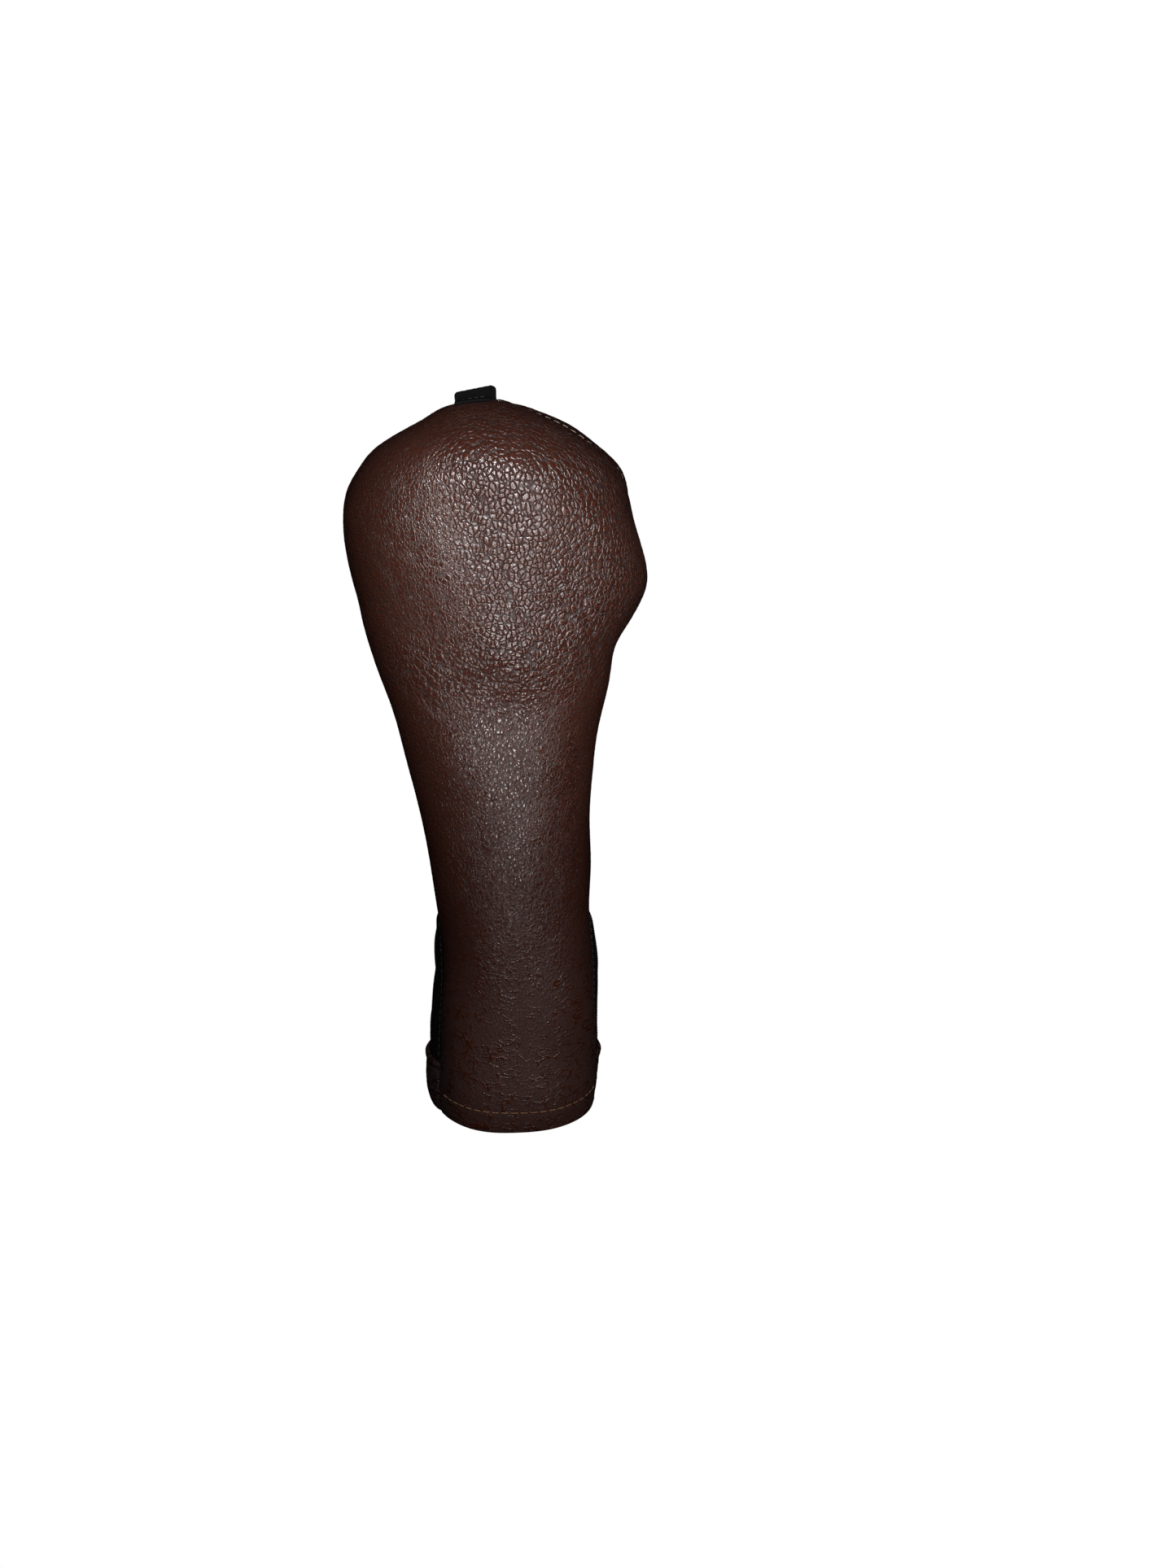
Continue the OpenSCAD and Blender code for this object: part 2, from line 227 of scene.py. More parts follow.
def distance_to(line, points):
    """Distance of each point to a polyline, and how far along the line its nearest place is."""
    tree = kdtree.KDTree(len(line))
    for i, p in enumerate(line):
        tree.insert(p, i)
    tree.balance()
    flat = points.reshape(-1, 3)
    nearest = np.array([tree.find(p)[1] for p in flat])
    run = along(line[None])[0]
    best, place = np.full(len(flat), 1e9), np.zeros(len(flat))
    for back in (1, 0):
        i = np.clip(nearest - back, 0, len(line) - 2)
        a, b = line[i], line[i + 1]
        share = ((flat - a) * (b - a)).sum(1) / np.maximum(((b - a) ** 2).sum(1), 1e-12)
        share = np.clip(share, 0, 1)[:, None]
        gap = np.linalg.norm(flat - a - share * (b - a), axis=1)
        nearer = gap < best
        best = np.where(nearer, gap, best)
        place = np.where(nearer, run[i] + share[:, 0] * (run[i + 1] - run[i]), place)
    return best.reshape(points.shape[:-1]), place.reshape(points.shape[:-1])


def roll(distance, radius):
    """How far an edge turned over a radius has dropped, at a distance from it."""
    left = 1 - np.minimum(distance / radius, 1)
    return radius * (1 - np.sqrt(np.maximum(1 - left * left, 0)))


# Slow swells of soft leather over padding: wavelengths along x, y and z, height and phase.
SWELLS = [
    ((96, 300, 71), 0.34, 0.4), ((-62, 180, 118), 0.26, 2.1), ((300, 74, 58), 0.24, 4.0),
    ((47, -110, 83), 0.17, 1.2), ((-140, 52, 44), 0.15, 5.3), ((38, 66, -160), 0.12, 3.3),
]


def swell(points):
    total = np.zeros(points.shape[:-1])
    for lengths, height, phase in SWELLS:
        total += height * np.sin(2 * math.pi * (points / np.array(lengths)).sum(-1) + phase)
    return total


# Fuller places on the front: across, up, half width, half height and how far they stand out.
BULGES = [(17, 226, 27, 20, 3.0), (-4, 268, 27, 44, 2.0), (0, 311, 36, 12, 2.2)]


def bulges(points):
    total = np.zeros(points.shape[:-1])
    for x, z, half_width, half_height, rise in BULGES:
        spread = ((points[..., 0] - x) / half_width) ** 2 + ((points[..., 2] - z) / half_height) ** 2
        total += rise * np.exp(-spread)
    return total


class Panel:
    """One sewn panel of the shell: its skin at rest, normals, and distances to its edges. Its
    grid has that many rows and columns of squares."""

    def __init__(self, front, first_row, last_row, rows, columns):
        self.front = front
        fine = np.linspace(first_row, last_row, 900)
        values = spline(SECTIONS, fine)
        middle = np.full((len(fine), 1), 270.0 if front else 90.0)
        climb = along(skin(values, middle)[None, :, 0])[0]
        places = spaced(climb[-1], rows)[0]
        self.rows = np.interp(places, climb, fine)
        values = spline(SECTIONS, self.rows)
        share = np.linspace(0, 1, 721)[None]
        left, right = values[:, 6:7], values[:, 7:8]
        if front:
            degrees = 180 - left + share * (180 + left + right)
        else:
            degrees = right + share * (180 - left - right)
        self.rest = respace(skin(values, degrees), columns)
        normal = normals_of(self.rest)
        crown = smoothstep(CROWN_FROM, CROWN_TO, self.rest[..., 2:3])
        normal = normal * (1 - crown) + np.array([0, 0, 1.0]) * crown
        self.normal = normal / np.linalg.norm(normal, axis=-1, keepdims=True)
        seam = np.concatenate([self.rest[:, 0], self.rest[-1, 1:-1], self.rest[::-1, -1]])
        self.edge, self.place = distance_to(seam, self.rest)
        self.height = self.rest[..., 2]
        self.foot = self.height - self.height[:1]
        throat = 1 - smoothstep(THROAT_FROM, THROAT_TO, self.height)
        radius = SEAM_ROLL + (EDGE_ROLL - SEAM_ROLL) * throat
        pull = SEAM_PULL * smoothstep(PULL_FROM, PULL_FULL, self.height)
        pulled_in = pull * np.exp(-((self.edge / PULL_WIDTH) ** 2))
        self.seam_roll = roll(self.edge, radius) + pulled_in
        self.foot_roll = roll(self.foot, HEM_ROLL)
        self.swell = swell(self.rest)
        if front:
            self.swell += bulges(self.rest)

    def layer(self, depth, raised=0.0, folded=False):
        """The panel's points at a depth below its skin, raised by a relief, its foot folded under."""
        offset = self.swell + raised - self.seam_roll - depth
        if folded:
            offset = offset - self.foot_roll
        return self.rest + self.normal * offset[..., None]

    def foam_depth(self):
        """How thick the foam is on each row."""
        return FOAM * np.clip((self.rows - PADDING_ROW + 1) / 3, 0, 1)[:, None]

    def lining_depth(self):
        """How deep under the skin the lining starts on each row."""
        return LEATHER + GAP + self.foam_depth() + GAP * (self.rows[:, None] >= PADDING_ROW)


class Band:
    """The cuff or the gusset: its skin at rest, normals, and distances to its upper and lower edge."""

    def __init__(self, table, rows, columns):
        fine = np.linspace(0, len(table) - 1, 400)
        heights = spline(table, fine)[:, 0]
        places = heights[0] + spaced(heights[-1] - heights[0], rows)[0]
        values = spline(table, np.interp(places, heights, fine))
        turns = np.linspace(-90, 270, 1081)[None] + np.zeros((len(values), 1))
        self.rest = respace(throat_skin(values, turns), columns)
        self.normal = normals_of(self.rest)
        self.height = self.rest[..., 2]
        self.foot = self.height - self.height[:1]
        self.head = self.height[-1:] - self.height
        self.run = along(self.rest)
        self.side = np.minimum(self.run, self.run[:, -1:] - self.run)
        self.swell = swell(self.rest) * smoothstep(0, 9, self.side)

    def layer(self, depth, raised=0.0):
        offset = self.swell + raised - depth
        return self.rest + self.normal * offset[..., None]


# ---- meshes

def in_scene(name, data):
    made = bpy.data.objects.new(name, data)
    bpy.context.scene.collection.objects.link(made)
    return made


def new_mesh(name, points, faces, attributes):
    """A smooth mesh object from points in millimetres, with values that its points carry."""
    mesh = bpy.data.meshes.new(name)
    mesh.from_pydata((points * MM).tolist(), [], faces)
    for key, values in attributes.items():
        values = np.asarray(values, np.float32)
        kind, field = ("FLOAT_VECTOR", "vector") if values.ndim == 2 else ("FLOAT", "value")
        mesh.attributes.new(key, kind, "POINT").data.foreach_set(field, values.ravel())
    mesh.shade_smooth()
    mesh.set_sharp_from_angle(angle=math.radians(62))
    mesh.validate()
    return in_scene(name, mesh)


def slab(name, outer, inner, step, fields):
    """A closed sheet between a fine outer grid and an inner one that keeps every step-th point."""
    rows, columns = outer.shape[:2]
    inner = inner[::step, ::step]
    few_rows, few_columns = inner.shape[:2]
    start = rows * columns

    def at(i, j):
        return i * columns + j

    def under(i, j):
        return start + i * few_columns + j

    faces = [(at(i, j), at(i, j + 1), at(i + 1, j + 1), at(i + 1, j))
             for i in range(rows - 1) for j in range(columns - 1)]
    faces += [(under(i, j), under(i + 1, j), under(i + 1, j + 1), under(i, j + 1))
              for i in range(few_rows - 1) for j in range(few_columns - 1)]
    for j in range(few_columns - 1):
        span = [j * step + k for k in range(step + 1)]
        faces.append([at(0, k) for k in span[::-1]] + [under(0, j), under(0, j + 1)])
        faces.append([at(rows - 1, k) for k in span]
                     + [under(few_rows - 1, j + 1), under(few_rows - 1, j)])
    for i in range(few_rows - 1):
        span = [i * step + k for k in range(step + 1)]
        faces.append([at(k, 0) for k in span] + [under(i + 1, 0), under(i, 0)])
        faces.append([at(k, columns - 1) for k in span[::-1]]
                     + [under(i, few_columns - 1), under(i + 1, few_columns - 1)])
    points = np.concatenate([outer.reshape(-1, 3), inner.reshape(-1, 3)])
    points[:, 2] = np.maximum(points[:, 2], 0.0)
    attributes = {}
    for key, (over, below) in fields.items():
        size = over.shape[2:]
        attributes[key] = np.concatenate([
            over.reshape((-1,) + size), below[::step, ::step].reshape((-1,) + size)])
    return new_mesh(name, points, faces, attributes)


def both(values):
    return values, values


# A thread's sides, how deep its two plies show, their turn for each millimetre, how narrow its
# ends are, and a direction that no thread runs along.
SIDES, PLY_DEPTH, PLY_TURN, THREAD_TIP = 8, 0.13, 1.1, 0.12
ASIDE = np.array([0.13, 0.31, 0.94])
# A stitch's stations, and how far below the surface its ends dive.
STITCH_STATIONS, STITCH_DIVE = 11, 0.5


def threads(name, runs, radius):
    """Separate twisted threads, one for each run of (stations, 3) points; ends taper in."""
    count, stations = runs.shape[:2]
    heading = np.gradient(runs, axis=1)
    heading /= np.linalg.norm(heading, axis=-1, keepdims=True)
    across = np.cross(heading, ASIDE)
    across /= np.linalg.norm(across, axis=-1, keepdims=True)
    other = np.cross(heading, across)
    share = np.linspace(-1, 1, stations)
    taper = np.sqrt(np.maximum(1 - np.abs(share) ** 5, THREAD_TIP))
    turn = np.linspace(0, 2 * math.pi, SIDES, endpoint=False)
    length = along(runs)[:, -1].mean()
    plies = 1 + PLY_DEPTH * np.cos(2 * (turn[None] - PLY_TURN * length * share[:, None]))
    spread = radius * taper[:, None] * plies
    ring = runs[:, :, None] + (spread * np.cos(turn))[None, ..., None] * across[:, :, None] \
        + (spread * np.sin(turn))[None, ..., None] * other[:, :, None]
    faces = []
    for k in range(count):
        base = k * stations * SIDES
        for i in range(stations - 1):
            for j in range(SIDES):
                a, b = base + i * SIDES + j, base + i * SIDES + (j + 1) % SIDES
                faces.append((a, b, b + SIDES, a + SIDES))
        faces.append(tuple(base + j for j in range(SIDES))[::-1])
        faces.append(tuple(base + (stations - 1) * SIDES + j for j in range(SIDES)))
    run = np.broadcast_to(share[None, :, None] * length / 2, ring.shape[:3])
    attributes = {"rest": ring.reshape(-1, 3), "run": run.ravel(),
                  "round": np.broadcast_to(turn[None, None], ring.shape[:3]).ravel()}
    return new_mesh(name, ring.reshape(-1, 3), faces, attributes)


def stitch_runs(path, normal, pitch, length, lift):
    """The stitches of one row on a surface, each rising out of it and diving back."""
    run = along(path[None])[0]
    count = max(1, int((run[-1] - length) / pitch))
    margin = (run[-1] - (count - 1) * pitch) / 2
    centres = margin + pitch * np.arange(count)
    share = np.linspace(-0.5, 0.5, STITCH_STATIONS)
    places = centres[:, None] + length * share[None]
    point = np.stack([np.interp(places, run, path[:, k]) for k in range(3)], -1)
    up = np.stack([np.interp(places, run, normal[:, k]) for k in range(3)], -1)
    up /= np.linalg.norm(up, axis=-1, keepdims=True)
    height = lift - (lift + STITCH_DIVE) * np.abs(2 * share) ** 5
    return point + up * height[None, :, None]


def stitches(name, rows, pitch, length, radius, lift=0.18):
    """Rows of stitches, each given as its path on a surface and the normals there."""
    runs = [stitch_runs(path, normal, pitch, length, lift) for path, normal in rows]
    return threads(name, np.concatenate(runs), radius)


# ---- node graphs

def opaque(colour):
    """A colour of three numbers with its alpha; a socket stays as it is."""
    return (*colour, 1) if isinstance(colour, tuple) else colour


class Graph:
    """Adds nodes to a material or a geometry tree with the same few calls."""

    def __init__(self, tree):
        self.tree = tree
        self.shader = tree.bl_idname == "ShaderNodeTree"

    def add(self, kind, inputs=None, **settings):
        node = self.tree.nodes.new(kind)
        for key, value in settings.items():
            setattr(node, key, value)
        for key, value in (inputs or {}).items():
            self.feed(node.inputs[key], value)
        return node

    def feed(self, socket, value):
        if isinstance(value, bpy.types.NodeSocket):
            self.tree.links.new(value, socket)
        else:
            socket.default_value = value

    def math(self, operation, a, b=0.0):
        return self.add("ShaderNodeMath", {0: a, 1: b}, operation=operation).outputs[0]

    def times(self, a, b):
        return self.math("MULTIPLY", a, b)

    def plus(self, a, b):
        return self.math("ADD", a, b)

    def minus(self, a, b):
        return self.math("SUBTRACT", a, b)

    def vector(self, operation, a, b):
        return self.add("ShaderNodeVectorMath", {0: a, 1: b}, operation=operation).outputs[0]

    def scale(self, a, factors):
        return self.vector("MULTIPLY", a, factors)

    def stored(self, name, output, data_type):
        """A value that the mesh's points carry."""
        if self.shader:
            return self.add("ShaderNodeAttribute", attribute_name=name).outputs[output]
        node = self.add("GeometryNodeInputNamedAttribute", {"Name": name}, data_type=data_type)
        return node.outputs[0]

    def number(self, name):
        return self.stored(name, "Fac", "FLOAT")

    def place(self, name):
        return self.stored(name, "Vector", "FLOAT_VECTOR")

    def noise(self, position, scale, detail=2.0, roughness=0.5, output=0):
        node = self.add("ShaderNodeTexNoise", {"Vector": position, "Scale": scale, "Detail": detail,
                                               "Roughness": roughness})
        return node.outputs[output]

    def cells(self, position, size):
        """Distance to the nearest border between cells of about that size, as a share of it."""
        node = self.add("ShaderNodeTexVoronoi", {"Vector": position}, feature="DISTANCE_TO_EDGE")
        node.inputs["Scale"].default_value = 1 / size
        return node.outputs["Distance"]

    def ramp(self, value, low, high, to_low=0.0, to_high=1.0, smooth=True):
        node = self.add("ShaderNodeMapRange", {0: value, 1: low, 2: high, 3: to_low, 4: to_high},
                        interpolation_type="SMOOTHSTEP" if smooth else "LINEAR")
        return node.outputs[0]

    def mix(self, share, a, b):
        """Between two colours."""
        node = self.add("ShaderNodeMix", data_type="RGBA")
        self.feed(node.inputs["Factor"], share)
        self.feed(node.inputs[6], opaque(a))
        self.feed(node.inputs[7], opaque(b))
        return node.outputs[2]

    def blend(self, share, a, b):
        """Between two numbers."""
        node = self.add("ShaderNodeMix", {"Factor": share, 2: a, 3: b}, data_type="FLOAT")
        return node.outputs[0]


def empty_graph(owner):
    """The emptied node graph of a material or a world."""
    owner.use_nodes = True
    owner.node_tree.nodes.clear()
    return Graph(owner.node_tree)


# The sizes of the leather's large, middle and small pebbles and of its wrinkles' cells, and how
# tall the large and middle pebbles and the wrinkles are, in millimetres.
BIG_PEBBLE, MIDDLE_PEBBLE, SMALL_PEBBLE, WRINKLE_CELL = 2.35, 1.55, 0.8, 2.3
BIG_RISE, MIDDLE_RISE, WRINKLE_RISE = 0.32, 0.17, 0.19
# How far in from its border a pebble rounds off, as a share of its size: the larger, the small.
PEBBLE_EDGE, SMALL_EDGE = 0.27, 0.42
# The share of that height which is real geometry; the shader's bump has all of it.
RELIEF_SHARE = 0.7


def leather_height(g):
    """The grain's height in millimetres, and the parts that it is made of. It follows the rest
    position: pebbles on the head that turn into finer grain on its left and into level wrinkles
    down the tube."""
    rest = g.place("rest")
    coarse, wrinkle = g.number("coarse"), g.number("wrinkle")
    middle_grey = (0.5, 0.5, 0.5)
    bent = rest
    for frequency, reach in ((0.11, 3.6), (0.45, 0.9)):
        drift = g.vector("SUBTRACT", g.noise(rest, frequency, 1.0, output="Color"), middle_grey)
        bent = g.vector("ADD", bent, g.scale(drift, (reach, reach, reach)))

    def dome(distance, width):
        t = g.ramp(distance, 0.0, width, smooth=False)
        return g.times(t, g.minus(2.0, t))

    big = dome(g.cells(g.scale(bent, (1.08, 1.0, 0.84)), BIG_PEBBLE), PEBBLE_EDGE)
    middle = dome(g.cells(g.scale(bent, (1.1, 1.0, 0.8)), MIDDLE_PEBBLE), PEBBLE_EDGE)
    small = dome(g.cells(bent, SMALL_PEBBLE), SMALL_EDGE)
    level = g.scale(bent, (0.34, 0.34, 1.0))
    ridges = g.ramp(g.cells(level, WRINKLE_CELL), 0.0, 0.12, 1.0, 0.0)
    patches = g.ramp(g.noise(rest, 0.16, 2.0), 0.40, 0.58)
    folds = g.times(patches, ridges)

    tall = g.times(g.times(coarse, g.minus(1.0, wrinkle)), BIG_RISE)
    fine = g.times(g.minus(1.0, g.times(coarse, 0.7)), MIDDLE_RISE)
    height = g.plus(g.times(big, tall), g.times(middle, fine))
    height = g.plus(height, g.times(folds, g.times(wrinkle, WRINKLE_RISE)))
    return height, (big, middle, small, folds, coarse, wrinkle)


def tucks(g):
    """Fine creases that run in from the seam over the crown, and along it down the sides."""
    place, edge, crown = g.number("seam_place"), g.number("seam_edge"), g.number("crown")

    def streaks(long, wide):
        where = g.add("ShaderNodeCombineXYZ", {0: g.times(place, 1 / long),
                                               1: g.times(edge, 1 / wide), 2: 0.0})
        return g.minus(g.noise(where.outputs[0], 1.0, 2.0), 0.5)

    fade = g.math("EXPONENT", g.times(edge, -1 / 10.0))
    inward = g.times(streaks(2.3, 13.0), fade)
    band = g.times(g.ramp(edge, 4.0, 10.0), g.ramp(edge, 20.0, 36.0, 0.30, 0.0))
    level = g.times(streaks(9.0, 1.7), band)
    lift = g.blend(crown, level, inward)
    return g.times(lift, g.ramp(edge, 0.8, 3.0))


def raise_relief(piece, height_of):
    """Moves a mesh's points out along their own normals by a node-made height, for good."""
    tree = bpy.data.node_groups.new(piece.name + "_relief", "GeometryNodeTree")
    tree.interface.new_socket("Geometry", in_out="INPUT", socket_type="NodeSocketGeometry")
    tree.interface.new_socket("Geometry", in_out="OUTPUT", socket_type="NodeSocketGeometry")
    g = Graph(tree)
    source = g.add("NodeGroupInput")
    result = g.add("NodeGroupOutput")
    height = g.times(height_of(g), g.times(g.number("relief"), RELIEF_SHARE))
    metres = g.times(height, MM)
    offset = g.add("ShaderNodeVectorMath", {0: g.place("out"), "Scale": metres}, operation="SCALE")
    moved = g.add("GeometryNodeSetPosition", {"Offset": offset.outputs[0]})
    tree.links.new(source.outputs[0], moved.inputs["Geometry"])
    tree.links.new(moved.outputs[0], result.inputs[0])
    piece.modifiers.new("relief", "NODES").node_group = tree
    depsgraph = bpy.context.evaluated_depsgraph_get()
    final = bpy.data.meshes.new_from_object(piece.evaluated_get(depsgraph), depsgraph=depsgraph)
    piece.modifiers.clear()
    piece.data = final
    for name in ("out", "relief"):
        final.attributes.remove(final.attributes[name])


# ---- materials

def material(name, build, **settings):
    """A name with its Principled material. The build gives its colour, roughness, relief and the
    relief's depth in millimetres; settings are sockets with one value all over."""
    made = bpy.data.materials.new(name)
    g = empty_graph(made)
    colour, rough, height, depth = build(g)
    bump = g.add("ShaderNodeBump", {"Height": height, "Distance": depth * MM, "Strength": 1.0})
    shader = g.add("ShaderNodeBsdfPrincipled", {
        "Base Color": colour, "Roughness": rough, "Normal": bump.outputs[0]})
    for key, value in settings.items():
        shader.inputs[key.replace("_", " ")].default_value = value
    g.add("ShaderNodeOutputMaterial", {"Surface": shader.outputs[0]})
    return name, made


def leather(name, base, shade_and_fleck, worn, tube, sewn=True):
    """Pebbled leather: glossy pebble tops over matt creases darkened with painted shade, clouded
    between base and worn, with random dark flecks, darkened towards the seam with painted shade
    where sewn, and turning to the tube's colour where it wrinkles."""
    def build(g):
        height, (big, middle, small, folds, coarse, wrinkle) = leather_height(g)
        rest = g.place("rest")
        pebbled = g.minus(1.0, wrinkle)
        opened = g.blend(g.times(coarse, pebbled), middle, big)
        creased = g.plus(g.times(folds, 0.55), g.ramp(middle, 0.0, 1.0, 0.34, 0.50))
        opened = g.blend(wrinkle, opened, creased)
        cloud = g.noise(rest, 0.035, 3.0)
        fleck = g.noise(rest, 0.9, 3.0)
        colour = g.mix(g.ramp(cloud, 0.3, 0.7), base, worn)
        colour = g.mix(g.times(wrinkle, 0.8), colour, tube)
        # Painted shade: the creases between the pebbles and in the wrinkles are darkened.
        colour = g.mix(g.times(g.ramp(opened, 0.1, 0.6, 1.0, 0.0), 0.95), colour, shade_and_fleck)
        # Random dark flecks in the same colour, a tone of the leather itself.
        colour = g.mix(g.ramp(fleck, 0.35, 0.75, 0.0, 0.22), colour, shade_and_fleck)
        rough = g.plus(g.ramp(opened, 0.1, 0.9, 0.60, 0.21), g.times(g.minus(fleck, 0.5), 0.14))
        rough = g.plus(rough, g.times(wrinkle, g.ramp(folds, 0.1, 0.8, 0.26, 0.0)))
        pores = g.noise(rest, 2.6, 2.0)
        height = g.plus(height, g.plus(g.times(small, 0.018), g.times(pores, 0.010)))
        if sewn:
            # Painted shade: within 30 mm of the seam the leather is darkened, where the head turns away
            # from the light.
            colour = g.mix(g.ramp(g.number("seam_edge"), 0.0, 30.0, 0.75, 0.0), colour, shade_and_fleck)
            height = g.plus(height, g.times(tucks(g), 0.6))
        return colour, rough, height, 1.0
    return material(name, build, Specular_IOR_Level=0.8)


def thread(name, colour, dark):
    """Twisted thread, darkened between its plies with painted shade."""
    def build(g):
        slant = g.plus(g.times(g.number("run"), 7.0), g.times(g.number("round"), 2.0))
        fibre = g.noise(g.place("rest"), 3.5, 3.0)
        height = g.plus(g.math("SINE", slant), fibre)
        # Painted shade: darker where the plies dip.
        tint = g.mix(g.ramp(height, -0.6, 1.2), dark, colour)
        return tint, g.ramp(fibre, 0.2, 0.8, 0.5, 0.8), height, 0.06
    return material(name, build, Sheen_Weight=0.2)


def woven(name, colour, dark, pitch):
    """Webbing or elastic: a plain weave at a pitch, with fibres over it, darkened in its low places
    with painted shade.
    """
    def build(g):
        across = g.math("SINE", g.times(g.number("weft"), 2 * math.pi / pitch))
        down = g.math("SINE", g.times(g.number("warp"), 2 * math.pi / pitch))
        fibre = g.noise(g.place("rest"), 4.0, 3.0)
        height = g.plus(g.times(across, down), g.times(fibre, 0.8))
        # Painted shade: darker where the weave and fibres dip.
        tint = g.mix(g.ramp(height, -0.8, 1.2), dark, colour)
        return tint, g.ramp(fibre, 0.2, 0.8, 0.62, 0.9), height, 0.16
    return material(name, build, Specular_IOR_Level=0.14)


def fleece(name, colour, dark):
    """Brushed fleece: tufts darkened at their roots with painted shade, and fine strands."""
    def build(g):
        rest = g.place("rest")
        tuft = g.noise(rest, 0.55, 4.0, 0.65)
        strand = g.noise(rest, 3.0, 3.0)
        # Painted shade at the roots of the tufts.
        tint = g.mix(g.ramp(tuft, 0.35, 0.68), dark, colour)
        rough = g.ramp(strand, 0.2, 0.8, 0.85, 1.0)
        return tint, rough, g.plus(tuft, g.times(strand, 0.4)), 0.7
    return material(name, build, Sheen_Weight=0.5, Specular_IOR_Level=0.2)


def foam(name, colour, dark):
    """Open-celled foam, darkened in its pores with painted shade, and darker in random clouds."""
    def build(g):
        rest = g.place("rest")
        pore = g.cells(rest, 0.9)
        cloud = g.noise(rest, 0.06, 2.0)
        # Painted shade in the pores.
        tint = g.mix(g.ramp(pore, 0.02, 0.22), dark, colour)
        tint = g.mix(g.ramp(cloud, 0.3, 0.7, 0.0, 0.25), tint, dark)
        return tint, g.ramp(pore, 0.0, 0.3, 1.0, 0.8), g.times(pore, -1.0), 0.3
    return material(name, build)


# The first colour here is painted shade for the leather's creases and seam edges, and also the colour
# of its random flecks.
SHADE_AND_FLECK_BROWN, FACING_BROWN = (0.010, 0.002, 0.0012), (0.060, 0.020, 0.013)
# The rear leather's colours, its worn colour too, are the front's made darker: painted shade on the
# rear panel and the cuff.
REAR_SHADE_BROWN = (0.044, 0.0110, 0.0064)
FINISHES = dict([
    leather("leather_front", (0.048, 0.0124, 0.0068), SHADE_AND_FLECK_BROWN,
            worn=(0.056, 0.0165, 0.0100), tube=(0.070, 0.0150, 0.0070)),
    leather("leather_rear", REAR_SHADE_BROWN, SHADE_AND_FLECK_BROWN, worn=(0.052, 0.0145, 0.0095), tube=REAR_SHADE_BROWN),
    leather("leather_facing", FACING_BROWN, (0.018, 0.005, 0.003),
            worn=(0.070, 0.026, 0.018), tube=FACING_BROWN, sewn=False),
    thread("thread_pale", (0.40, 0.33, 0.28), (0.18, 0.14, 0.11)),
    thread("thread_tan", (0.60, 0.27, 0.10), (0.26, 0.10, 0.035)),
    thread("thread_black", (0.020, 0.020, 0.022), (0.006, 0.006, 0.007)),
    thread("thread_grey", (0.10, 0.105, 0.12), (0.035, 0.035, 0.042)),
    woven("elastic", (0.0075, 0.007, 0.0075), (0.0025, 0.0025, 0.0028), pitch=0.8),
    woven("webbing", (0.0045, 0.0045, 0.0055), (0.0015, 0.0015, 0.002), pitch=1.1),
    fleece("fleece", (0.030, 0.028, 0.029), (0.010, 0.009, 0.010)),
    foam("foam", (0.62, 0.56, 0.40), (0.42, 0.36, 0.24)),
])

# ---- putting pieces on the frame

TAB_CENTRE = next(np.array(j["pos_m"]) / MM for j in frame["joints"] if j["name"] == "tab_flop")
TAB_LEAN = math.radians(11)
TAB_ALONG = np.array([math.cos(TAB_LEAN), 0, math.sin(TAB_LEAN)])
TAB_UP = np.array([-math.sin(TAB_LEAN), 0, math.cos(TAB_LEAN)])
# Bodies whose pieces bend with one of the part's joints, each listed from a place that stays with the
# shell to one that moves: cloth behind the throat is held at its sides, and the tab at its root.
# Here their pieces only keep their place, baked in and not attached to a body; nothing reads these
# places.
BENDS = {
    "rear_throat": ((0, 0.006, 0), (0, 0.0396, -0.0107)),
    "tab": (tuple((TAB_CENTRE - 0.3 * TAB_UP) * MM), tuple((TAB_CENTRE + 2.0 * TAB_UP) * MM)),
}


def place_piece(piece, finish, body, node):
    piece.data.materials.clear()
    piece.data.materials.append(FINISHES[finish])
    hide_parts(node)
    if body in BENDS:
        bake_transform(piece)
    else:
        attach(piece, body)


# ---- camera, floor and lights

WHITE = (1, 1, 1, 1)
FLOOR_REACH, FLOOR_SQUARES, FLOOR_Z = 3.0, 40, -0.0006


def place_camera():
    """The camera that the photo was taken with, as fitted to the hem's curve."""
    camera = in_scene("camera", bpy.data.cameras.new("camera"))
    camera.location = (0, -0.687, 0.320)
    camera.rotation_euler = (math.radians(77), 0, math.radians(-3.02))
    camera.data.lens = 33.63
    camera.data.sensor_width = 36
    camera.data.clip_start = 0.01
    bpy.context.scene.camera = camera


def lay_floor():
    """A plain white floor that neither shades the part nor shows in its gloss."""
    line = np.linspace(-FLOOR_REACH, FLOOR_REACH, FLOOR_SQUARES + 1)
    grid_x, grid_y = np.meshgrid(line, line)
    points = np.stack([grid_x, grid_y, np.full_like(grid_x, FLOOR_Z)], -1).reshape(-1, 3)
    across = FLOOR_SQUARES + 1
    corners = [i * across + j for i in range(FLOOR_SQUARES) for j in range(FLOOR_SQUARES)]
    faces = [(c, c + 1, c + across + 1, c + across) for c in corners]
    mesh = bpy.data.meshes.new("floor")
    mesh.from_pydata(points.tolist(), [], faces)
    floor = in_scene("floor", mesh)
    white = bpy.data.materials.new("floor")
    g = empty_graph(white)
    glow = g.add("ShaderNodeEmission", {"Color": WHITE, "Strength": 1.0})
    g.add("ShaderNodeOutputMaterial", {"Surface": glow.outputs[0]})
    mesh.materials.append(white)
    for flag in ("visible_diffuse", "visible_glossy", "visible_shadow", "visible_transmission"):
        setattr(floor, flag, False)


